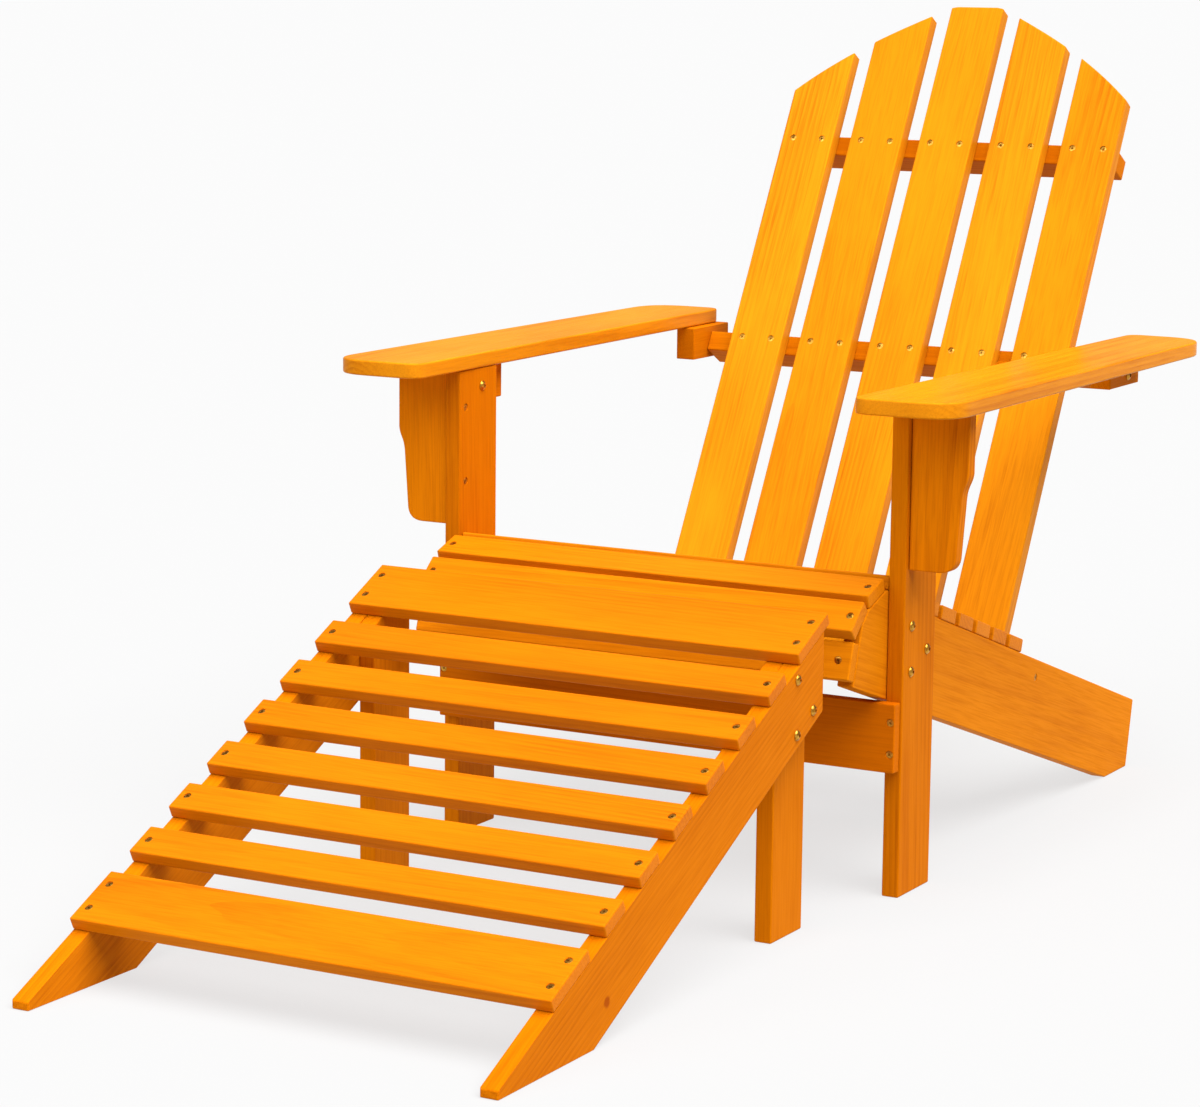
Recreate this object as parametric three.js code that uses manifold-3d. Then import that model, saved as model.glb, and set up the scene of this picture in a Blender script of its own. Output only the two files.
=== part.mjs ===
// Slatted wooden garden armchair with a matching slatted footrest.
// Millimetres, +Z up. The sitter faces -Y, so the sitter's left hand is +X.
// Every board and every bolt is a solid of its own, cut and bored as a joiner would make it.

import * as THREE from 'three';
import { mergeVertices } from 'three/addons/utils/BufferGeometryUtils.js';
import Module from 'manifold-3d';

const wasm = await Module();
wasm.setup();

// ---------------------------------------------------------------- driving dimensions

const GAP = 0.3;                      // clearance between pieces that touch
const RAD = Math.PI / 180;
const SIDES = [['left', 1], ['right', -1]];

// timber stock
const SEAT_THICK = 14.5;
const THIN = 13;                      // footrest slats, stretcher and apron
const THICK = 18;                     // legs, side rails and back slats
const ARM_THICK = 16;
const NARROW = 38;                    // width of the narrow slats
const WIDE = 70;                      // width of the wide slats

// chair, measured from the front face of the front legs (y = 0) and the floor (z = 0)
const LEG_OUTER_X = 265;
const LEG_DEPTH = 75;
const ARM_UNDERSIDE = 494;
const RAIL_OUTER_X = LEG_OUTER_X - THICK - GAP;
const RAIL_INNER_X = RAIL_OUTER_X - THICK;
const SEAT_SLAT_HALF = RAIL_OUTER_X - GAP;

// seat rail: front edge, underside and the flat foot at the rear
const RAIL_SLOPE = 18.1 * RAD;
const RAIL_FRONT_BOTTOM = [-76, 225];
const FIRST_SLAT_OVERHANG = 20.6;     // how far the first slat reaches past the rail's front end
const REAR_FOOT_START_Y = 612;
const REAR_FOOT_END_Y = 677;
const RAIL_REAR_TOP_Y = 694;

// seat: the first slat's lower front corner, then each slat's pitch and the gap behind it
const SEAT_START = [-73.2, 270.9];
const SEAT_PITCHES = [41, 18.5, -15, -26, -21, -18.1, -18.1, -18.1, -18.1, -18.1];
const SEAT_GAPS = [3, 7, 9, 9, 9, 9.6, 9.6, 9.6, 9.6, 0];

const APRON_FRONT_BOTTOM = [-87.8, 234];

const STRETCHER_HALF = 263;
const STRETCHER_BOTTOM = 129;

// back: leans backwards about the lower ends of its slats
const BACK_LEAN = 29.1 * RAD;
const BACK_FOOT = [359.5, 151];
const BACK_SLATS = 5;
const BACK_SLAT_WIDTH = 66;
const BACK_SLAT_PITCH = 88.3;
const BACK_MIDDLE_LENGTH = 819.5;     // the middle slat, the longest
const ARCH_FLAT = 30;                 // the arch is level this far either side of the middle
const ARCH_SLOPE = 0.5;               // then falls away, a little faster the further out it runs
const ARCH_CURVE = 4.4e-6;
const ARCH_STEPS = 8;
const CROSS_RAIL_HEIGHT = 24;
const CROSS_RAIL_DEPTH = 37.7;
const CROSS_RAILS = {
  back_rail_bottom: { along: 19, half: RAIL_INNER_X - GAP, depth: THICK },
  back_rail_middle: { along: 383, half: 246.4, depth: CROSS_RAIL_DEPTH, boltDepth: 40 },
  back_rail_top: { along: 641.5, half: 203, depth: CROSS_RAIL_DEPTH },
};

// arms and what carries them
const ARM_OUTER_X = 350;
const ARM_FRONT_Y = -90;
const ARM_REAR_Y = 612;
const ARM_INNER_FRONT_X = 243;
const ARM_INNER_REAR_X = 257;
const ARM_ROUND_FRONT = 42;
const ARM_ROUND_REAR = 50;
const ARM_ROUND_INNER = 18;

const BRACKET_SETBACK = 6;
const BRACKET_THICK = 16;
const BRACKET_WIDTH = 61;
const BRACKET_DROP = 163;
const BRACKET_ROUND = 18;

const CLEAT_REAR_Y = 116;
const CLEAT_HEIGHT = 39;

const BLOCK_INNER_X = 246.7;
const BLOCK_OUTER_X = 270;
const BLOCK_FRONT_Y = 524;
const BLOCK_REAR_Y = 612;
const BLOCK_HEIGHT = 37;

// footrest
const REST_SLOPE = 25.4 * RAD;
const REST_NOSE_Y = -751;
const REST_NOSE_HEIGHT = 8.4;
const REST_REAR_Y = -150;
const REST_FOOT_END_Y = -590;
const REST_REAR_BOTTOM = 216;
const REST_RAIL_OUTER_X = 250;
const REST_SLAT_HALF = 250.5;
const REST_FIRST_ALONG = 99.3;        // from the nose to the first slat, along the slope
const REST_GAP = 30;
const REST_WIDTHS = [WIDE, NARROW, NARROW, NARROW, NARROW, NARROW, NARROW, WIDE];
const REST_LEG_DEPTH = 66;

// fasteners
const SHANK_R = 2.5;
const HEAD_R = 5.5;
const HEAD_HEIGHT = 3;
const BOLT_LENGTH = 32;
const BLOCK_BOLT_LENGTH = 60;
const LEG_BOLTS = [[18, 273], [56, 244], [18, 227]];
const REST_BOLTS = [[-206, 256], [-172, 221], [-206, 203]];
const CLEAT_BOLT = [45, 474.6];

// ---------------------------------------------------------------- materials

const wood = new THREE.MeshStandardMaterial({ color: 0xf79a1c, roughness: 0.55, metalness: 0 });
const steel = new THREE.MeshStandardMaterial({ color: 0xd8b45a, roughness: 0.35, metalness: 1 });

// ---------------------------------------------------------------- building blocks

const chair = new THREE.Group();
const footrest = new THREE.Group();

function addPiece(group, name, geometry, material = wood) {
  const mesh = new THREE.Mesh(geometry, material);
  mesh.name = name;
  group.add(mesh);
  return mesh;
}

function outline(points) {
  return new THREE.Shape(points.map(([a, b]) => new THREE.Vector2(a, b)));
}

function extrude(shape, depth) {
  return new THREE.ExtrudeGeometry(shape, { depth, bevelEnabled: false, curveSegments: 8 });
}

// A board cut to an outline in the (y, z) plane, lying between two x positions.
function sideBoard(shape, xA, xB) {
  const geometry = extrude(shape, Math.abs(xB - xA));
  const axes = new THREE.Matrix4().makeBasis(
    new THREE.Vector3(0, 1, 0), new THREE.Vector3(0, 0, 1), new THREE.Vector3(1, 0, 0));
  geometry.applyMatrix4(axes);
  geometry.translate(Math.min(xA, xB), 0, 0);
  return geometry;
}

// A board cut to an outline in the (x, z) plane, from y = front to y = front + thickness.
function frontBoard(shape, front, thickness) {
  const geometry = extrude(shape, thickness);
  const axes = new THREE.Matrix4().makeBasis(
    new THREE.Vector3(1, 0, 0), new THREE.Vector3(0, 0, 1), new THREE.Vector3(0, -1, 0));
  geometry.applyMatrix4(axes);
  geometry.translate(0, front + thickness, 0);
  return geometry;
}

function box(xs, ys, zs) {
  const size = [xs, ys, zs].map(([a, b]) => Math.abs(b - a));
  const geometry = new THREE.BoxGeometry(...size);
  geometry.translate((xs[0] + xs[1]) / 2, (ys[0] + ys[1]) / 2, (zs[0] + zs[1]) / 2);
  return geometry;
}

function toSolid(geometry) {
  const bare = geometry.clone();
  bare.deleteAttribute('normal');
  bare.deleteAttribute('uv');
  const merged = mergeVertices(bare, 1e-3);
  return new wasm.Manifold(new wasm.Mesh({
    numProp: 3,
    vertProperties: Float32Array.from(merged.attributes.position.array),
    triVerts: Uint32Array.from(merged.index.array),
  }));
}

function toGeometry(solid) {
  const mesh = solid.getMesh();
  const geometry = new THREE.BufferGeometry();
  geometry.setAttribute('position', new THREE.BufferAttribute(mesh.vertProperties, 3));
  geometry.setIndex(new THREE.BufferAttribute(mesh.triVerts, 1));
  geometry.computeVertexNormals();
  return geometry;
}

// Bores a board along X between two x positions at each (y, z) centre.
function bored(geometry, centres, xA, xB) {
  let solid = toSolid(geometry);
  for (const [y, z] of centres) {
    const drill = new THREE.CylinderGeometry(SHANK_R + GAP, SHANK_R + GAP, Math.abs(xB - xA), 16);
    drill.rotateZ(Math.PI / 2);
    drill.translate((xA + xB) / 2, y, z);
    solid = solid.subtract(toSolid(drill));
  }
  return toGeometry(solid);
}

// A round-headed bolt: head on the face at x = face, shank running the way that inward points.
function bolt(name, group, [y, z], face, inward, length = BOLT_LENGTH) {
  const profile = [
    [0, -length], [SHANK_R, -length], [SHANK_R, GAP], [HEAD_R, GAP],
    [HEAD_R, 1.2], [HEAD_R * 0.75, 2.4], [HEAD_R * 0.35, HEAD_HEIGHT], [0, HEAD_HEIGHT],
  ].map(([r, h]) => new THREE.Vector2(r, h));
  const mesh = addPiece(group, name, new THREE.LatheGeometry(profile, 16), steel);
  mesh.rotation.z = inward * Math.PI / 2;
  mesh.position.set(face, y, z);
}

// ---------------------------------------------------------------- chair: seat frame

// Flat seats for the slats along the top edge of the rail, as (y, z, pitch) of each front corner.
function seatPlaces() {
  const places = [];
  let [y, z] = SEAT_START;
  SEAT_PITCHES.forEach((pitch, i) => {
    const turn = pitch * RAD;
    places.push({ y, z, turn });
    const next = SEAT_PITCHES[Math.min(i + 1, SEAT_PITCHES.length - 1)] * RAD;
    const between = (turn + next) / 2;
    y += NARROW * Math.cos(turn) + SEAT_GAPS[i] * Math.cos(between);
    z += NARROW * Math.sin(turn) + SEAT_GAPS[i] * Math.sin(between);
  });
  return places;
}

function seatRailOutline() {
  const underside = [REAR_FOOT_START_Y, 0];
  const places = seatPlaces();
  const [first] = places;
  const frontTop = [
    first.y + FIRST_SLAT_OVERHANG * Math.cos(first.turn),
    first.z + FIRST_SLAT_OVERHANG * Math.sin(first.turn),
  ];
  const top = places.flatMap(({ y, z, turn }) => [
    [y, z], [y + NARROW * Math.cos(turn), z + NARROW * Math.sin(turn)],
  ]);
  const last = top[top.length - 1];
  const rearTop = [RAIL_REAR_TOP_Y, last[1] - (RAIL_REAR_TOP_Y - last[0]) * Math.tan(RAIL_SLOPE)];
  const points = [RAIL_FRONT_BOTTOM, underside, [REAR_FOOT_END_Y, 0], rearTop];
  points.push(...top.slice(1).reverse(), frontTop);
  return outline(points);
}

for (const [side, s] of SIDES) {
  const rail = sideBoard(seatRailOutline(), s * RAIL_INNER_X, s * RAIL_OUTER_X);
  const boltEnd = LEG_OUTER_X - BOLT_LENGTH - GAP;
  addPiece(chair, `seat_rail_${side}`, bored(rail, LEG_BOLTS, s * boltEnd, s * (RAIL_OUTER_X + 1)));

  const legInner = s * (LEG_OUTER_X - THICK);
  const leg = box([legInner, s * LEG_OUTER_X], [0, LEG_DEPTH], [0, ARM_UNDERSIDE - GAP]);
  const through = [legInner - s, s * (LEG_OUTER_X + 1)];
  addPiece(chair, `front_leg_${side}`, bored(leg, [...LEG_BOLTS, CLEAT_BOLT], ...through));
  LEG_BOLTS.forEach((centre, i) => {
    bolt(`leg_bolt_${side}_${i + 1}`, chair, centre, s * LEG_OUTER_X, -s);
  });
}

const stretcherZ = [STRETCHER_BOTTOM, STRETCHER_BOTTOM + WIDE];
addPiece(chair, 'front_stretcher',
  box([-STRETCHER_HALF, STRETCHER_HALF], [-GAP - THIN, -GAP], stretcherZ));

// A slat lying on a slope: its lower front corner at (y, z), its width running up the slope.
function slat(group, name, [half, width, thickness], { y, z, turn }) {
  const geometry = box([-half, half], [0, width], [GAP, GAP + thickness]);
  const mesh = addPiece(group, name, geometry);
  mesh.rotation.x = turn;
  mesh.position.set(0, y, z);
}

seatPlaces().forEach((place, i) => {
  const name = `seat_slat_${String(i + 1).padStart(2, '0')}`;
  slat(chair, name, [SEAT_SLAT_HALF, NARROW, SEAT_THICK], place);
});

const apron = addPiece(chair, 'front_apron',
  box([-SEAT_SLAT_HALF, SEAT_SLAT_HALF], [0, THIN], [0, NARROW]));
apron.rotation.x = -RAIL_SLOPE;
apron.position.set(0, ...APRON_FRONT_BOTTOM);

// ---------------------------------------------------------------- chair: back

// The back is drawn upright: x across, y backwards from the slats' front face, z along them.
const back = new THREE.Group();
back.rotation.x = -BACK_LEAN;
back.position.set(0, ...BACK_FOOT);
chair.add(back);

function slatTop(x) {
  const out = Math.max(Math.abs(x) - ARCH_FLAT, 0);
  return BACK_MIDDLE_LENGTH - ARCH_SLOPE * out - ARCH_CURVE * out ** 3;
}

for (let i = 0; i < BACK_SLATS; i += 1) {
  const centre = (i - (BACK_SLATS - 1) / 2) * BACK_SLAT_PITCH;
  const [x0, x1] = [centre - BACK_SLAT_WIDTH / 2, centre + BACK_SLAT_WIDTH / 2];
  const shape = new THREE.Shape();
  shape.moveTo(x0, 0);
  shape.lineTo(x1, 0);
  for (let step = 0; step <= ARCH_STEPS; step += 1) {
    const x = x1 - (BACK_SLAT_WIDTH * step) / ARCH_STEPS;
    shape.lineTo(x, slatTop(x));
  }
  addPiece(back, `back_slat_${i + 1}`, frontBoard(shape, 0, THICK));
}

// The middle rail is bored at both ends for the bolts that hold it to the arm blocks.
const railFront = THICK + GAP;
const railCentre = railFront + CROSS_RAIL_DEPTH / 2;
for (const [name, { along, half, depth, boltDepth }] of Object.entries(CROSS_RAILS)) {
  const depths = [railFront, railFront + depth];
  const heights = [along - CROSS_RAIL_HEIGHT / 2, along + CROSS_RAIL_HEIGHT / 2];
  let rail = box([-half, half], depths, heights);
  if (boltDepth) {
    for (const [, s] of SIDES) {
      rail = bored(rail, [[railCentre, along]], s * (half - boltDepth), s * (half + 1));
    }
  }
  addPiece(back, name, rail);
}

// ---------------------------------------------------------------- chair: arms

function armOutline(s) {
  const shape = new THREE.Shape();
  const corner = (cx, cy, x, y) => shape.quadraticCurveTo(s * cx, cy, s * x, y);
  shape.moveTo(s * (ARM_INNER_FRONT_X + ARM_ROUND_INNER), ARM_FRONT_Y);
  shape.lineTo(s * (ARM_OUTER_X - ARM_ROUND_FRONT), ARM_FRONT_Y);
  corner(ARM_OUTER_X, ARM_FRONT_Y, ARM_OUTER_X, ARM_FRONT_Y + ARM_ROUND_FRONT);
  shape.lineTo(s * ARM_OUTER_X, ARM_REAR_Y - ARM_ROUND_REAR);
  corner(ARM_OUTER_X, ARM_REAR_Y, ARM_OUTER_X - ARM_ROUND_REAR, ARM_REAR_Y);
  shape.lineTo(s * (ARM_INNER_REAR_X + ARM_ROUND_INNER), ARM_REAR_Y);
  corner(ARM_INNER_REAR_X, ARM_REAR_Y, ARM_INNER_REAR_X, ARM_REAR_Y - ARM_ROUND_INNER);
  shape.lineTo(s * ARM_INNER_FRONT_X, ARM_FRONT_Y + ARM_ROUND_INNER);
  corner(ARM_INNER_FRONT_X, ARM_FRONT_Y, ARM_INNER_FRONT_X + ARM_ROUND_INNER, ARM_FRONT_Y);
  return shape;
}

// The bracket's outer edge drops straight, steps in softly, and rounds off to a flat bottom.
function bracketOutline(s) {
  const inner = LEG_OUTER_X + GAP;
  const outer = inner + BRACKET_WIDTH;
  const top = ARM_UNDERSIDE - GAP;
  const shape = new THREE.Shape();
  shape.moveTo(s * inner, top);
  shape.lineTo(s * outer, top);
  shape.lineTo(s * outer, top - 64);
  shape.bezierCurveTo(
    s * (outer - 1), top - 74, s * (outer - 6), top - 76, s * (outer - 7), top - 89);
  const foot = outer - 11;
  const bottom = top - BRACKET_DROP;
  shape.lineTo(s * foot, bottom + BRACKET_ROUND);
  shape.quadraticCurveTo(s * foot, bottom, s * (foot - BRACKET_ROUND), bottom);
  shape.lineTo(s * inner, bottom);
  return shape;
}

const middleRail = new THREE.Vector3(0, railCentre, CROSS_RAILS.back_rail_middle.along);
back.updateMatrix();
middleRail.applyMatrix4(back.matrix);

for (const [side, s] of SIDES) {
  const arm = extrude(armOutline(s), ARM_THICK);
  arm.translate(0, 0, ARM_UNDERSIDE);
  addPiece(chair, `arm_${side}`, arm);

  addPiece(chair, `arm_bracket_${side}`, frontBoard(bracketOutline(s), BRACKET_SETBACK, BRACKET_THICK));

  const top = ARM_UNDERSIDE - GAP;
  const cleatInner = LEG_OUTER_X + GAP;
  const cleat = box([s * cleatInner, s * (cleatInner + THICK)],
    [BRACKET_SETBACK + BRACKET_THICK + GAP, CLEAT_REAR_Y], [top - CLEAT_HEIGHT, top]);
  const cleatBoltEnd = LEG_OUTER_X - THICK + BOLT_LENGTH + GAP;
  addPiece(chair, `arm_cleat_${side}`, bored(cleat, [CLEAT_BOLT], s * LEG_OUTER_X, s * cleatBoltEnd));
  bolt(`cleat_bolt_${side}`, chair, CLEAT_BOLT, s * (LEG_OUTER_X - THICK), s);

  const block = box([s * BLOCK_INNER_X, s * BLOCK_OUTER_X], [BLOCK_FRONT_Y, BLOCK_REAR_Y],
    [top - BLOCK_HEIGHT, top]);
  const screwAt = [middleRail.y, middleRail.z];
  const blockSpan = [s * (BLOCK_INNER_X - 1), s * (BLOCK_OUTER_X + 1)];
  addPiece(chair, `arm_block_${side}`, bored(block, [screwAt], ...blockSpan));
  bolt(`block_bolt_${side}`, chair, screwAt, s * BLOCK_OUTER_X, -s, BLOCK_BOLT_LENGTH);
}

// ---------------------------------------------------------------- footrest

const restTopAt = (y) => REST_NOSE_HEIGHT + (y - REST_NOSE_Y) * Math.tan(REST_SLOPE);

const restRail = outline([
  [REST_NOSE_Y, 0], [REST_FOOT_END_Y, 0], [REST_REAR_Y, REST_REAR_BOTTOM],
  [REST_REAR_Y, restTopAt(REST_REAR_Y)], [REST_NOSE_Y, REST_NOSE_HEIGHT],
]);
const restLegFront = REST_REAR_Y - REST_LEG_DEPTH;
const restLeg = outline([
  [restLegFront, 0], [REST_REAR_Y, 0],
  [REST_REAR_Y, restTopAt(REST_REAR_Y)], [restLegFront, restTopAt(restLegFront)],
]);

for (const [side, s] of SIDES) {
  const outer = REST_RAIL_OUTER_X;
  const legOuter = outer - THICK - GAP;
  const boltEnd = outer - BOLT_LENGTH - GAP;
  const rail = sideBoard(restRail, s * (outer - THICK), s * outer);
  addPiece(footrest, `footrest_rail_${side}`, bored(rail, REST_BOLTS, s * boltEnd, s * (outer + 1)));

  const leg = sideBoard(restLeg, s * (legOuter - THICK), s * legOuter);
  addPiece(footrest, `footrest_leg_${side}`, bored(leg, REST_BOLTS, s * boltEnd, s * (legOuter + 1)));
  REST_BOLTS.forEach((centre, i) => {
    bolt(`footrest_bolt_${side}_${i + 1}`, footrest, centre, s * outer, -s);
  });
}

let along = REST_FIRST_ALONG;
REST_WIDTHS.forEach((width, i) => {
  const y = REST_NOSE_Y + along * Math.cos(REST_SLOPE);
  const place = { y, z: restTopAt(y), turn: REST_SLOPE };
  slat(footrest, `footrest_slat_${i + 1}`, [REST_SLAT_HALF, width, THIN], place);
  along += width + REST_GAP;
});

// ---------------------------------------------------------------- assembly, centred over its floor area

const set = new THREE.Group();
set.add(chair, footrest);
const backmost = new THREE.Vector3(0, THICK, BACK_MIDDLE_LENGTH).applyMatrix4(back.matrix).y;
set.position.y = -(REST_NOSE_Y + backmost) / 2;

export default set;
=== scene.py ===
# %% [markdown]
# # A stained wooden garden armchair with its footrest
#
# The chair is a set of planed softwood boards held by bolts and countersunk screws.
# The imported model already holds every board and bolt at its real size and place, so
# this script adds what makes them look real: eased edges, screw holes, screw and bolt
# heads, the grain of each board, and a softly lit white studio.

# %% Load the frame
import math
import random

import bmesh
import bpy
from mathutils import Euler, Matrix, Vector


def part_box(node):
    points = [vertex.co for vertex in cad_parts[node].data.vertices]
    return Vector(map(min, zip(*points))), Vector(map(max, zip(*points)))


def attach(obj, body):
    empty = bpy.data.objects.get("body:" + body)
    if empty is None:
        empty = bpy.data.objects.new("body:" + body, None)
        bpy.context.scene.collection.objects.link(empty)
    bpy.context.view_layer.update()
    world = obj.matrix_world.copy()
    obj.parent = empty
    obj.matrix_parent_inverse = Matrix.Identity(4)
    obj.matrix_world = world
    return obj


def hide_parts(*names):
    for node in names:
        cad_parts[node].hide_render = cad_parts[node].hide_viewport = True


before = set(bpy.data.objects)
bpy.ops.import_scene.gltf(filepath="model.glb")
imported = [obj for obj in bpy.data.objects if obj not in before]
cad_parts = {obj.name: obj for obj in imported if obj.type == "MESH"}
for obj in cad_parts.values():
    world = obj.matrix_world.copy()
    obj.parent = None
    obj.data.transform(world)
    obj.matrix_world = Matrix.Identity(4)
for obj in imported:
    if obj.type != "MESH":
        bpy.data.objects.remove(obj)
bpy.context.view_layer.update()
MM = 0.001

# %% [markdown]
# ## The camera
#
# A product shot is taken with a long lens from a few metres away, so that the far arm is
# hardly smaller than the near one. The camera stands to the right of the footrest, a
# little above the top of the back, and looks down slightly. It leans by half a degree,
# as a hand-set tripod does.

# %% Camera
AZIMUTH = math.radians(29.087)
ELEVATION = math.radians(9.555)
ROLL = math.radians(0.601)
DISTANCE = 3.166
TARGET = Vector((0.1618, -0.4425, 0.4))
SENSOR_WIDTH = 36                     # millimetres, as on a full-frame camera
FOCAL_LENGTH = 107.13                 # millimetres


def aim_camera():
    back = Vector((
        math.sin(AZIMUTH) * math.cos(ELEVATION),
        -math.cos(AZIMUTH) * math.cos(ELEVATION),
        math.sin(ELEVATION),
    ))
    right = Vector((0, 0, 1)).cross(back).normalized()
    up = back.cross(right)
    leaned_right = right * math.cos(ROLL) + up * math.sin(ROLL)
    leaned_up = up * math.cos(ROLL) - right * math.sin(ROLL)
    turn = Matrix((leaned_right, leaned_up, back)).transposed()
    lens = bpy.data.cameras.new("camera")
    lens.sensor_width = SENSOR_WIDTH
    lens.lens = FOCAL_LENGTH
    lens.clip_end = 500
    camera = bpy.data.objects.new("camera", lens)
    camera.matrix_world = Matrix.Translation(TARGET + back * DISTANCE) @ turn.to_4x4()
    bpy.context.scene.collection.objects.link(camera)
    bpy.context.scene.camera = camera
    return camera


camera = aim_camera()
print("camera at", [round(v, 3) for v in camera.location])

# %% [markdown]
# ## The studio
#
# The set stands on a pale floor that runs on to the horizon, so there is no corner behind
# it. The floor is a light table: acrylic that is lit from below too, which keeps the
# shadows on it faint and fills the undersides. A broad key light hangs high on the right
# and gives the tops of the boards about twice the light of their sides. A weak fill from
# the front left opens up the back and the brackets, and the studio's even white walls do
# the rest and give the stain its soft sheen.

# %% Floor and light
def hex_colour(code):
    """Turns an sRGB colour such as "#F79A1C" into the linear values that Blender uses."""
    channels = [int(code[i:i + 2], 16) / 255 for i in (1, 3, 5)]
    linear = [c / 12.92 if c <= 0.04045 else ((c + 0.055) / 1.055) ** 2.4 for c in channels]
    return (*linear, 1.0)


def add_node(tree, kind, inputs=None, **settings):
    """Adds a node, sets its properties, and sets or links its inputs."""
    node = tree.nodes.new(kind)
    for name, value in settings.items():
        setattr(node, name, value)
    for socket, value in (inputs or {}).items():
        if isinstance(value, bpy.types.NodeSocket):
            tree.links.new(value, node.inputs[socket])
        else:
            node.inputs[socket].default_value = value
    return node


def new_material(name):
    material = bpy.data.materials.new(name)
    material.use_nodes = True
    material.node_tree.nodes.clear()
    return material, material.node_tree


def light_table():
    """Matt acrylic that is bright mostly by its own glow, so shadows on it stay faint."""
    material, tree = new_material("lit_white_acrylic")
    acrylic = add_node(tree, "ShaderNodeBsdfPrincipled", {
        "Base Color": hex_colour("#5A5A5A"),
        "Roughness": 1.0,
        "Specular IOR Level": 0.0,
        "Emission Color": (1, 1, 1, 1),
        "Emission Strength": 0.71,
    })
    add_node(tree, "ShaderNodeOutputMaterial", {"Surface": acrylic.outputs[0]})
    return material


def add_sun(name, strength, azimuth, elevation, softness):
    """A distant lamp. Azimuth is from the front (-Y) towards +X; all angles in degrees."""
    lamp = bpy.data.lights.new(name, "SUN")
    lamp.energy = strength
    lamp.angle = math.radians(softness)
    sun = bpy.data.objects.new(name, lamp)
    a, e = math.radians(azimuth), math.radians(elevation)
    towards = Vector((math.sin(a) * math.cos(e), -math.cos(a) * math.cos(e), math.sin(e)))
    sun.rotation_euler = towards.to_track_quat("Z", "Y").to_euler()
    bpy.context.scene.collection.objects.link(sun)


FLOOR_SIZE = 400                      # metres, wide enough to reach the horizon
bpy.ops.object.select_all(action="DESELECT")
bpy.ops.mesh.primitive_plane_add(size=FLOOR_SIZE)
floor = bpy.context.object
floor.name = "floor"
floor.data.materials.append(light_table())

world = bpy.data.worlds.new("studio_white")
bpy.context.scene.world = world
world.use_nodes = True
walls = world.node_tree.nodes["Background"]
walls.inputs["Color"].default_value = (1, 1, 1, 1)
walls.inputs["Strength"].default_value = 0.25
add_sun("key_light", 7.2, azimuth=72, elevation=64, softness=60)
add_sun("fill_light", 1.3, azimuth=-25, elevation=30, softness=40)
bpy.context.scene.view_settings.view_transform = "Standard"
print("studio ready")

# %% [markdown]
# ## Stained fir
#
# The boards are planed softwood, most likely fir, under a thin semi-transparent orange
# stain. The soft earlywood drinks the stain and the hard latewood of each growth ring
# stays a little darker, so the grain shows as faint lines along a board and as arcs on
# its ends. Rings round a pith that lies beside the board give both at once, because they
# are a pattern in space that every face cuts through. Long thin noise gives the fibres,
# and slow noise the uneven soak of the stain. A penetrating stain leaves little gloss, so
# the specular level is low and the roughness middling. The fibres are drawn wider than
# real ones, which are too fine to show. The tones differ a little from one kind of board
# to another, and that difference is painted light and shade: the seat's boards, the
# brackets, the back slats and the arms get lighter tones for the light that falls on
# them, and the stretcher a darker one for the shade under the seat. They were tuned
# together with the lights, so they suit this studio.

# %% Wood material
RING_SPACING = 6 * MM
FIBRE_WIDTH = 1.8 * MM
FIBRE_STRETCH = 0.03                  # how slowly the rings and fibres change along a board
BLOTCH_SIZE = 110 * MM
FRAME_TONES = ("#C66C02", "#C96F03", "#C46A02")
REST_TONES = ("#C66B04", "#C96E05", "#C46904")
# lighter than the frame's tones: painted light, for the light on the seat's slats, apron and
# side rails
SEAT_PAINTED_LIGHT_TONES = ("#CC7406", "#CE7607")
# darker than the frame's tones: painted shade, for the shade under the seat
STRETCHER_PAINTED_SHADE_TONES = ("#C26302",)
# lighter than the frame's tones: painted light, for the light on the brackets' front faces
BRACKET_PAINTED_LIGHT_TONES = ("#D87804",)
# lighter and yellower than the frame's tones: painted light, for the light the leaning back
# slats catch
BACK_PAINTED_LIGHT_TONES = ("#D5840D", "#D7870F", "#D3810C", "#D98A10")
# lighter and yellower than the frame's tones: painted light, for the light and sheen on the
# arms' tops
ARM_PAINTED_LIGHT_TONES = ("#D28311",)
LATEWOOD = "#9C4502"
STAIN_SHEEN = "#FFC040"               # tuned: white reflections turned the side faces pinkish
PITH_TILT = 0.03                      # radians between the board and its pith, at most
RING_SHARE = 0.26
FIBRE_SHARE = 0.32
SOAK_SHARE = 0.22
X_AXIS = Vector((1, 0, 0))


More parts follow.
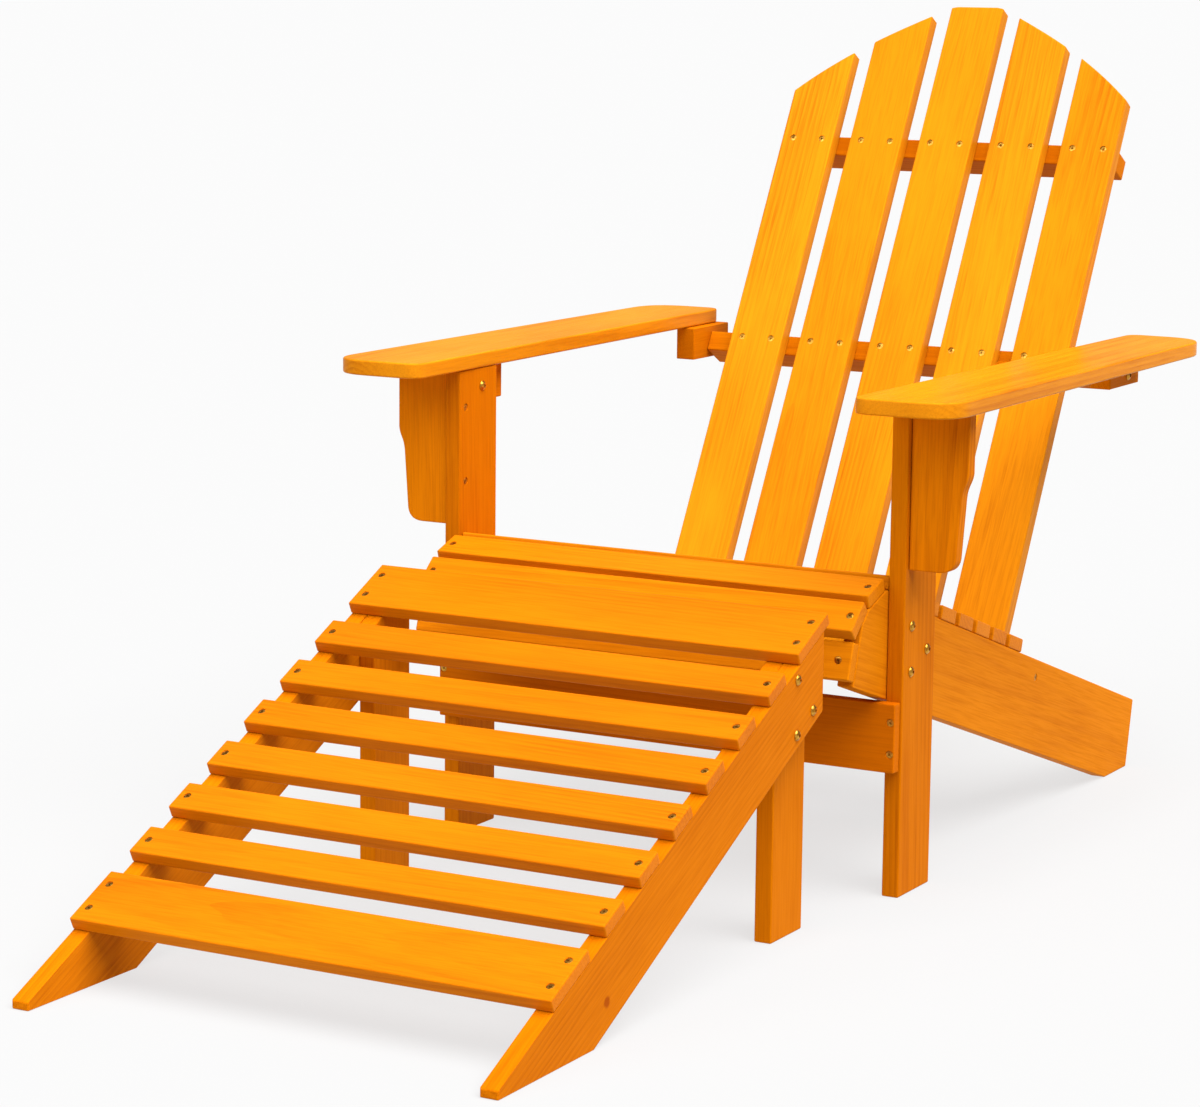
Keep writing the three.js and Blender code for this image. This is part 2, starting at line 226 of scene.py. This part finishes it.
def stained_fir(name, along, centre, seed, finish_and_painted_light, knot=None):
    """Wood whose grain runs along the given direction, for a board with this centre."""
    tones, gloss, mean_roughness = finish_and_painted_light
    chance = random.Random(seed)
    pith = Vector((
        chance.uniform(-2, 2),
        chance.uniform(22, 55) * MM,
        chance.uniform(-45, 45) * MM,
    ))
    tilt = Euler((
        chance.uniform(0, math.tau),
        chance.uniform(-PITH_TILT, PITH_TILT),
        chance.uniform(-PITH_TILT, PITH_TILT),
    ))
    turn = tilt.to_quaternion() @ along.rotation_difference(X_AXIS)
    material, tree = new_material(name)

    place = add_node(tree, "ShaderNodeTexCoord").outputs["Object"]
    in_board = add_node(tree, "ShaderNodeMapping", {
        "Vector": place,
        "Rotation": turn.to_euler("XYZ"),
        "Location": pith - turn @ centre,
    }).outputs[0]
    grain = add_node(tree, "ShaderNodeMapping", {
        "Vector": in_board, "Scale": (FIBRE_STRETCH, 1, 1),
    }).outputs[0]
    slow = add_node(tree, "ShaderNodeMapping", {
        "Vector": in_board, "Scale": (0.25, 1, 1),
    }).outputs[0]

    rings = add_node(tree, "ShaderNodeTexWave", {
        "Vector": grain,
        "Scale": math.tau / (20 * RING_SPACING),
        "Distortion": 6.0,
        "Detail": 2.0,
        "Detail Scale": 0.4,
    }, wave_type="RINGS", rings_direction="X", wave_profile="SAW").outputs["Fac"]
    latewood = add_node(tree, "ShaderNodeMapRange", {
        "Value": rings, "From Min": 0.25, "From Max": 0.95,
    }, interpolation_type="SMOOTHSTEP").outputs[0]
    fibres = add_node(tree, "ShaderNodeTexNoise", {
        "Vector": grain, "Scale": 1 / FIBRE_WIDTH, "Detail": 4.0, "Roughness": 0.6,
    }).outputs["Fac"]
    soak = add_node(tree, "ShaderNodeTexNoise", {
        "Vector": slow, "Scale": 1 / BLOTCH_SIZE, "Detail": 3.0,
    }).outputs["Fac"]

    # rings, fibres and soak each take a small share of the way to the darker colour, and
    # the rings come and go with the soak, as the stain hides them in some places
    clearness = add_node(tree, "ShaderNodeMapRange", {
        "Value": soak, "From Min": 0.38, "From Max": 0.66, "To Max": RING_SHARE,
    }).outputs[0]
    darkness = add_node(tree, "ShaderNodeMath", {
        0: latewood, 1: clearness,
    }, operation="MULTIPLY").outputs[0]
    for pattern, low, high, share in (
        (fibres, 0.42, 0.72, FIBRE_SHARE),
        (soak, 0.4, 0.75, SOAK_SHARE),
    ):
        part = add_node(tree, "ShaderNodeMapRange", {
            "Value": pattern, "From Min": low, "From Max": high, "To Max": share,
        }).outputs[0]
        darkness = add_node(tree, "ShaderNodeMath", {
            0: darkness, 1: part,
        }, operation="ADD").outputs[0]
    if knot:
        distance = add_node(tree, "ShaderNodeVectorMath", {
            0: place, 1: knot,
        }, operation="DISTANCE")
        mark = add_node(tree, "ShaderNodeMapRange", {
            "Value": distance.outputs["Value"], "From Min": 2.5 * MM, "From Max": 7 * MM,
            "To Min": 0.9, "To Max": 0.0,
        }, interpolation_type="SMOOTHSTEP").outputs[0]
        darkness = add_node(tree, "ShaderNodeMath", {
            0: darkness, 1: mark,
        }, operation="ADD").outputs[0]

    tone = add_node(tree, "ShaderNodeMix", {"Factor": darkness}, data_type="RGBA")
    colours = [socket for socket in tone.inputs if socket.type == "RGBA"]
    # the chosen tone holds painted light for the seat, brackets, back and arms, and painted
    # shade for the stretcher
    colours[0].default_value = hex_colour(chance.choice(tones))
    colours[1].default_value = hex_colour(LATEWOOD)
    result = [socket for socket in tone.outputs if socket.type == "RGBA"][0]

    bump = add_node(tree, "ShaderNodeBump", {
        "Height": fibres, "Strength": 0.25, "Distance": 0.2 * MM,
    }).outputs[0]
    roughness = add_node(tree, "ShaderNodeMapRange", {
        "Value": fibres, "From Min": 0.3, "From Max": 0.7,
        "To Min": mean_roughness - 0.06, "To Max": mean_roughness + 0.06,
    }).outputs[0]
    stain = add_node(tree, "ShaderNodeBsdfPrincipled", {
        "Base Color": result,
        "Roughness": roughness,
        "Specular IOR Level": gloss,
        "Specular Tint": hex_colour(STAIN_SHEEN),
        "Normal": bump,
    })
    add_node(tree, "ShaderNodeOutputMaterial", {"Surface": stain.outputs[0]})
    return material


print("wood: rings every", RING_SPACING / MM, "mm")

# %% [markdown]
# ## Yellow zinc plating
#
# The screws and bolts are steel with a thin coat of zinc and a yellow passivation, which
# looks like brass. Its colour drifts between brown gold and bright gold, and the plating
# is softly shiny rather than mirror bright.

# %% Screw metal
def yellow_zinc():
    material, tree = new_material("yellow_zinc_plate")
    place = add_node(tree, "ShaderNodeTexCoord").outputs["Object"]
    drift = add_node(tree, "ShaderNodeTexNoise", {
        "Vector": place, "Scale": 1 / (3 * MM), "Detail": 2.0,
    }).outputs["Fac"]
    tone = add_node(tree, "ShaderNodeValToRGB", {"Fac": drift})
    tone.color_ramp.elements[0].position = 0.35
    tone.color_ramp.elements[0].color = hex_colour("#A56A1C")
    tone.color_ramp.elements[1].position = 0.65
    tone.color_ramp.elements[1].color = hex_colour("#DDA844")
    roughness = add_node(tree, "ShaderNodeMapRange", {
        "Value": drift, "To Min": 0.28, "To Max": 0.42,
    }).outputs[0]
    plate = add_node(tree, "ShaderNodeBsdfPrincipled", {
        "Base Color": tone.outputs[0], "Roughness": roughness, "Metallic": 1.0,
    })
    add_node(tree, "ShaderNodeOutputMaterial", {"Surface": plate.outputs[0]})
    return material


zinc = yellow_zinc()

# %% [markdown]
# ## The boards
#
# On the real chair each board is planed and its edges are eased with a small cutter, so
# they catch a thin line of light. A bevel along every sharp edge does the same. Each
# board starts as a copy of its node. The copy is merged and its flat faces joined, and
# then the bevel runs round them. The edges of the bolt bores stay as they are, because
# the bolts fill them.

# %% Plane the boards
BOARD_EDGE = 1.6 * MM
ARM_EDGE = 2.0 * MM
SHARP = math.radians(30)
bolt_nodes = [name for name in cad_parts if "_bolt_" in name]
bolt_boxes = [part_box(name) for name in bolt_nodes]
BORE_MARGIN = 1.5 * MM


def in_a_bore(point):
    return any(
        all(lo[i] - BORE_MARGIN < point[i] < hi[i] + BORE_MARGIN for i in range(3))
        for lo, hi in bolt_boxes
    )


def select_only(piece):
    bpy.ops.object.select_all(action="DESELECT")
    piece.select_set(True)
    bpy.context.view_layer.objects.active = piece


def own_copy(source, name):
    """A new piece with its own copy of the mesh, linked to the scene and selected alone."""
    piece = bpy.data.objects.new(name, source.data.copy())
    bpy.context.scene.collection.objects.link(piece)
    select_only(piece)
    return piece


def joined_faces(piece):
    """Merges loose triangles and joins the flat ones, and returns the edit mesh."""
    select_only(piece)
    bpy.ops.object.mode_set(mode="EDIT")
    bpy.ops.mesh.select_all(action="SELECT")
    bpy.ops.mesh.remove_doubles(threshold=0.01 * MM)
    bpy.ops.mesh.dissolve_limited(angle_limit=math.radians(0.5))
    return bmesh.from_edit_mesh(piece.data)


def plane_board(node, easing):
    """Copies a board, eases its edges, and notes its grain direction and its faces."""
    board = own_copy(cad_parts[node], node + "_board")
    mesh = joined_faces(board)
    longest = max(mesh.edges, key=lambda edge: edge.calc_length())
    along = (longest.verts[1].co - longest.verts[0].co).normalized()
    faces = [(f.calc_area(), f.normal.copy(), f.calc_center_bounds()) for f in mesh.faces]
    for edge in mesh.edges:
        middle = (edge.verts[0].co + edge.verts[1].co) / 2
        edge.select_set(edge.calc_face_angle(0) > SHARP and not in_a_bore(middle))
    bmesh.update_edit_mesh(board.data)
    bpy.ops.mesh.bevel(offset=easing, segments=3, profile=0.5, affect="EDGES")
    bpy.ops.object.mode_set(mode="OBJECT")
    return board, along, faces


def finish_and_painted_light_of(node):
    """Tones, gloss and roughness per kind of board; some tones hold painted light and shade.
    """
    finishes_and_painted_light = (
        ("arm_bracket", BRACKET_PAINTED_LIGHT_TONES, 0.03, 0.6),
        ("arm_left", ARM_PAINTED_LIGHT_TONES, 0.03, 0.3),
        ("arm_right", ARM_PAINTED_LIGHT_TONES, 0.03, 0.3),
        ("back_slat", BACK_PAINTED_LIGHT_TONES, 0.08, 0.45),
        ("seat_slat", SEAT_PAINTED_LIGHT_TONES, 0.06, 0.45),
        ("front_apron", SEAT_PAINTED_LIGHT_TONES, 0.05, 0.6),
        ("seat_rail", SEAT_PAINTED_LIGHT_TONES, 0.03, 0.6),
        ("front_stretcher", STRETCHER_PAINTED_SHADE_TONES, 0.03, 0.6),
        ("footrest_slat", REST_TONES, 0.06, 0.45),
        ("", FRAME_TONES, 0.03, 0.6),
    )
    return next(rest for start, *rest in finishes_and_painted_light if node.startswith(start))


def body_of(node):
    return "footrest" if node.startswith("footrest") else "chair"


KNOT_PLACE = (-0.5804, 0.037)         # y and z on the outer face of the footrest's rail
board_nodes = [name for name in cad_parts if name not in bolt_nodes]
boards = {}
for number, node in enumerate(board_nodes):
    easing = ARM_EDGE if node in ("arm_left", "arm_right") else BOARD_EDGE
    board, along, faces = plane_board(node, easing)
    lo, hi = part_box(node)
    knot = (hi.x, *KNOT_PLACE) if node == "footrest_rail_left" else None
    middle = (lo + hi) / 2
    wood = stained_fir("stained_fir_" + node, along, middle, number + 7, finish_and_painted_light_of(node), knot)
    board.data.materials.clear()
    board.data.materials.append(wood)
    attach(board, body_of(node))
    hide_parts(node)
    boards[node] = (board, faces)
print("boards planed:", len(boards))

# %% [markdown]
# ## Where the screws go
#
# Every slat is screwed down through its face into the rail behind it, at the middle of
# the rail's thickness. The front legs and the seat's side rails have a few more. The head
# sits in a countersink, just below the wood. A screw's place is a point on the board's
# own face, and its direction is that face's normal.

# %% Screw places
SEAT_SCREW_X = 237.7 * MM
REST_SCREW_X = 240.5 * MM
APRON_SCREW_X = 232 * MM
STRETCHER_SCREW_X = 258 * MM
BACK_SCREW_X = 18.6 * MM              # either side of a back slat's middle
WIDE_SLAT = 50 * MM                   # a slat wider than this has two screws at each end
WIDE_SLAT_SCREWS = (-17 * MM, 17 * MM)
STRETCHER_SCREWS = (-16 * MM, 16 * MM)
LEG_SCREW_Y = 0.6 * MM
LEG_SCREW_HEIGHTS = (455 * MM, 377 * MM)
RAIL_SCREW = (380.3 * MM, 154.5 * MM)  # y and z, into the end of the bottom back rail
screw_places = []                     # (board, point on the face, outward direction)


def main_face(node, hint):
    """The normal and centre of the board's large face that looks most towards the hint."""
    faces = boards[node][1]
    largest = max(area for area, _, _ in faces)
    broad = [face for face in faces if face[0] > 0.3 * largest]
    _, normal, centre = max(broad, key=lambda face: face[1].dot(hint))
    return normal, centre


def place_screws(node, hint, across, offsets):
    """Screws at +-across in X, and at each offset from the middle of the board's width."""
    normal, centre = main_face(node, hint)
    upwards = X_AXIS.cross(normal)
    for x in (-across, across):
        for offset in offsets:
            point = centre + upwards * offset
            screw_places.append((node, Vector((x, point.y, point.z)), normal))


UP = Vector((0, 0, 1))
FRONT = Vector((0, -1, 0))
LEANING_FRONT = Vector((0, -1, 0.5))


def boards_named(start):
    return [name for name in board_nodes if name.startswith(start)]


for node in boards_named("seat_slat"):
    place_screws(node, UP, SEAT_SCREW_X, (0,))
for node in boards_named("footrest_slat"):
    lo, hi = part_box(node)
    place_screws(node, UP, REST_SCREW_X, WIDE_SLAT_SCREWS if hi.y - lo.y > WIDE_SLAT else (0,))
place_screws("front_apron", FRONT, APRON_SCREW_X, (0,))
place_screws("front_stretcher", FRONT, STRETCHER_SCREW_X, STRETCHER_SCREWS)
for node in boards_named("back_slat"):
    normal, centre = main_face(node, LEANING_FRONT)
    for rail in boards_named("back_rail"):
        lo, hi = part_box(rail)
        behind = (lo + hi) / 2
        behind.x = centre.x
        point = behind + normal * (centre - behind).dot(normal)
        for x in (-BACK_SCREW_X, BACK_SCREW_X):
            screw_places.append((node, point + X_AXIS * x, normal))
for side, sign in (("left", 1), ("right", -1)):
    leg, rail = "front_leg_" + side, "seat_rail_" + side
    lo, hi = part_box(leg)
    inner = lo.x if sign > 0 else hi.x
    for z in LEG_SCREW_HEIGHTS:
        screw_places.append((leg, Vector((inner, LEG_SCREW_Y, z)), X_AXIS * -sign))
    lo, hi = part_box(rail)
    outer = hi.x if sign > 0 else lo.x
    screw_places.append((rail, Vector((outer, *RAIL_SCREW)), X_AXIS * sign))
print("screws:", len(screw_places))

# %% [markdown]
# ## Countersinks
#
# A countersink is a short straight wall that runs into a cone. One cutter is made from a
# cylinder whose lower end is drawn in, and a copy of it is sunk into the board at each
# screw. The Boolean modifier takes all of a board's cutters away in one go.

# %% Cut the countersinks
HEAD_RADIUS = 3.7 * MM
SHANK_RADIUS = 1.6 * MM
SINK_CLEARANCE = 0.35 * MM
HEAD_DEPTH = 0.55 * MM                # how far the head's face lies below the wood
CONE_HEIGHT = 2.6 * MM


def select_underside(piece):
    """Opens edit mode with only the faces that look straight down selected."""
    bpy.ops.object.mode_set(mode="EDIT")
    bpy.ops.mesh.select_mode(type="FACE")
    mesh = bmesh.from_edit_mesh(piece.data)
    for face in mesh.faces:
        face.select_set(face.normal.z < -0.9)
    bmesh.update_edit_mesh(piece.data)


def extrude_down(distance):
    bpy.ops.mesh.extrude_region_move(TRANSFORM_OT_translate={"value": (0, 0, -distance)})


def draw_in(ratio):
    bpy.ops.transform.resize(value=(ratio, ratio, 1))


def leave_edit_mode():
    bpy.ops.mesh.select_mode(type="VERT")
    bpy.ops.object.mode_set(mode="OBJECT")


def countersink_shape():
    top = 2 * MM                      # it starts above the wood, so the cut is clean
    wall_end = -HEAD_DEPTH
    bpy.ops.object.select_all(action="DESELECT")
    bpy.ops.mesh.primitive_cylinder_add(
        vertices=24, radius=HEAD_RADIUS + SINK_CLEARANCE, depth=top - wall_end,
        location=(0, 0, (top + wall_end) / 2))
    cutter = bpy.context.object
    cutter.name = "countersink"
    bpy.ops.object.transform_apply(location=True, rotation=True, scale=True)
    select_underside(cutter)
    extrude_down(CONE_HEIGHT)
    draw_in((SHANK_RADIUS + SINK_CLEARANCE) / (HEAD_RADIUS + SINK_CLEARANCE))
    leave_edit_mode()
    return cutter


def placed_copy(source, name, point, outward):
    """A copy of a shape made at the origin along Z, moved in its mesh to its own place."""
    piece = own_copy(source, name)
    turn = outward.to_track_quat("Z", "X").to_matrix().to_4x4()
    piece.data.transform(Matrix.Translation(point) @ turn)
    return piece


def apply_modifier(piece, kind, **settings):
    select_only(piece)
    modifier = piece.modifiers.new(kind.lower(), kind)
    for name, value in settings.items():
        setattr(modifier, name, value)
    bpy.ops.object.modifier_apply(modifier=modifier.name)


countersink = countersink_shape()
for node, (board, _) in boards.items():
    sinks = [
        placed_copy(countersink, "sink", point, outward)
        for place, point, outward in screw_places if place == node
    ]
    if not sinks:
        continue
    bpy.ops.object.select_all(action="DESELECT")
    for sink in sinks:
        sink.select_set(True)
    bpy.context.view_layer.objects.active = sinks[0]
    if len(sinks) > 1:
        bpy.ops.object.join()
    apply_modifier(board, "BOOLEAN", object=sinks[0], operation="DIFFERENCE", solver="EXACT")
    bpy.data.objects.remove(sinks[0])
bpy.data.objects.remove(countersink)

# flat faces keep their own normal, and only the eased edges and round ends are smooth
for board, _ in boards.values():
    select_only(board)
    bpy.ops.object.shade_smooth_by_angle(angle=math.radians(35))
    apply_modifier(board, "WEIGHTED_NORMAL", keep_sharp=True, weight=100)
print("countersinks cut")

# %% [markdown]
# ## Screws
#
# A wood screw has a flat head with a cross recess, on a cone that fits the countersink.
# The head is a short cylinder with its lower face drawn in to the shank. The recess is
# cut by two crossed bars that taper downwards, as the tip of a screwdriver does.

# %% Model a screw and copy it
RECESS_LENGTH = 4.8 * MM
RECESS_WIDTH = 1.0 * MM
RECESS_DEPTH = 1.6 * MM
RECESS_TAPER = 0.45
HEAD_RIM = 0.4 * MM
HEAD_EDGE = 0.25 * MM


def recess_bar(turned):
    bpy.ops.object.select_all(action="DESELECT")
    bpy.ops.mesh.primitive_cube_add(size=1)
    bar = bpy.context.object
    bar.scale = (RECESS_LENGTH, RECESS_WIDTH, 2 * RECESS_DEPTH)
    bar.rotation_euler.z = math.pi / 2 if turned else 0
    bpy.ops.object.transform_apply(location=True, rotation=True, scale=True)
    select_underside(bar)
    draw_in(RECESS_TAPER)
    leave_edit_mode()
    return bar


def screw_shape():
    bpy.ops.object.select_all(action="DESELECT")
    bpy.ops.mesh.primitive_cylinder_add(
        vertices=32, radius=HEAD_RADIUS, depth=HEAD_RIM, location=(0, 0, -HEAD_RIM / 2))
    screw = bpy.context.object
    screw.name = "screw"
    bpy.ops.object.transform_apply(location=True, rotation=True, scale=True)
    select_underside(screw)
    extrude_down(CONE_HEIGHT - HEAD_RIM)
    draw_in(SHANK_RADIUS / HEAD_RADIUS)
    leave_edit_mode()
    apply_modifier(
        screw, "BEVEL", width=HEAD_EDGE, segments=2,
        limit_method="ANGLE", angle_limit=math.radians(60))
    for turned in (False, True):
        bar = recess_bar(turned)
        apply_modifier(screw, "BOOLEAN", object=bar, operation="DIFFERENCE", solver="EXACT")
        bpy.data.objects.remove(bar)
    screw.data.transform(Matrix.Translation((0, 0, -HEAD_DEPTH)))
    screw.data.materials.append(zinc)
    return screw


screw = screw_shape()
select_only(screw)
bpy.ops.object.shade_smooth_by_angle(angle=math.radians(30))
chance = random.Random(3)
counts = {}
for node, point, outward in screw_places:
    counts[node] = counts.get(node, 0) + 1
    turned = own_copy(screw, "turned_screw")
    turned.data.transform(Matrix.Rotation(chance.uniform(0, math.pi / 2), 4, "Z"))
    piece = placed_copy(turned, f"{node}_screw_{counts[node]}", point, outward)
    bpy.data.objects.remove(turned)
    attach(piece, body_of(node))
bpy.data.objects.remove(screw)
print("screws set:", sum(counts.values()))

# %% [markdown]
# ## Bolts
#
# The frame is held by small bolts with a domed head and a hexagon socket. The dome
# comes from a sphere cut off below its base, which is drawn on as the shank. The socket
# is a six-sided bar taken out of the top. Each copy's shank is then drawn to the length
# of its own bore.

# %% Model a bolt and copy it
BOLT_HEAD_RADIUS = 5.5 * MM
BOLT_HEAD_HEIGHT = 3.0 * MM
BOLT_SHANK_RADIUS = 2.45 * MM
SOCKET_RADIUS = 2.1 * MM
DOME_CUT = 0.3 * MM                   # the dome stands on a rim of this height
ROUGH_SHANK = 10 * MM                 # each copy's shank is moved from here to its real end


def bolt_shape():
    curve = (BOLT_HEAD_RADIUS ** 2 + BOLT_HEAD_HEIGHT ** 2) / (2 * BOLT_HEAD_HEIGHT)
    bpy.ops.object.select_all(action="DESELECT")
    bpy.ops.mesh.primitive_uv_sphere_add(
        segments=32, ring_count=48, radius=curve, location=(0, 0, BOLT_HEAD_HEIGHT - curve))
    bolt = bpy.context.object
    bolt.name = "bolt"
    bpy.ops.object.transform_apply(location=True, rotation=True, scale=True)
    bpy.ops.object.mode_set(mode="EDIT")
    bpy.ops.mesh.select_all(action="SELECT")
    bpy.ops.mesh.bisect(
        plane_co=(0, 0, DOME_CUT), plane_no=(0, 0, 1), use_fill=True, clear_inner=True)
    select_underside(bolt)
    extrude_down(DOME_CUT)
    mesh = bmesh.from_edit_mesh(bolt.data)
    edge_radius = max(math.hypot(v.co.x, v.co.y) for v in mesh.verts if v.select)
    bpy.ops.mesh.inset(thickness=edge_radius - BOLT_SHANK_RADIUS)
    extrude_down(ROUGH_SHANK)
    leave_edit_mode()
    bpy.ops.object.select_all(action="DESELECT")
    bpy.ops.mesh.primitive_cylinder_add(
        vertices=6, radius=SOCKET_RADIUS, depth=4 * MM, location=(0, 0, BOLT_HEAD_HEIGHT))
    socket = bpy.context.object
    apply_modifier(bolt, "BOOLEAN", object=socket, operation="DIFFERENCE", solver="EXACT")
    bpy.data.objects.remove(socket)
    bolt.data.materials.append(zinc)
    select_only(bolt)
    bpy.ops.object.shade_smooth_by_angle(angle=math.radians(30))
    return bolt


bolt = bolt_shape()
for node in bolt_nodes:
    lo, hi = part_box(node)
    centre = (lo + hi) / 2
    corners = [v.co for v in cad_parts[node].data.vertices]
    head = [c.x for c in corners if math.hypot(c.y - centre.y, c.z - centre.z) > 4 * MM]
    sign = 1 if sum(head) / len(head) > centre.x else -1
    seat = min(head) if sign > 0 else max(head)
    end = lo.x if sign > 0 else hi.x
    fitted = own_copy(bolt, "fitted_bolt")
    for vertex in fitted.data.vertices:
        if vertex.co.z < -ROUGH_SHANK / 2:
            vertex.co.z = -abs(seat - end)
    under_head = Vector((seat, centre.y, centre.z))
    piece = placed_copy(fitted, node + "_steel", under_head, X_AXIS * sign)
    bpy.data.objects.remove(fitted)
    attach(piece, body_of(node))
    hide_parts(node)
bpy.data.objects.remove(bolt)
print("bolts fitted:", len(bolt_nodes))
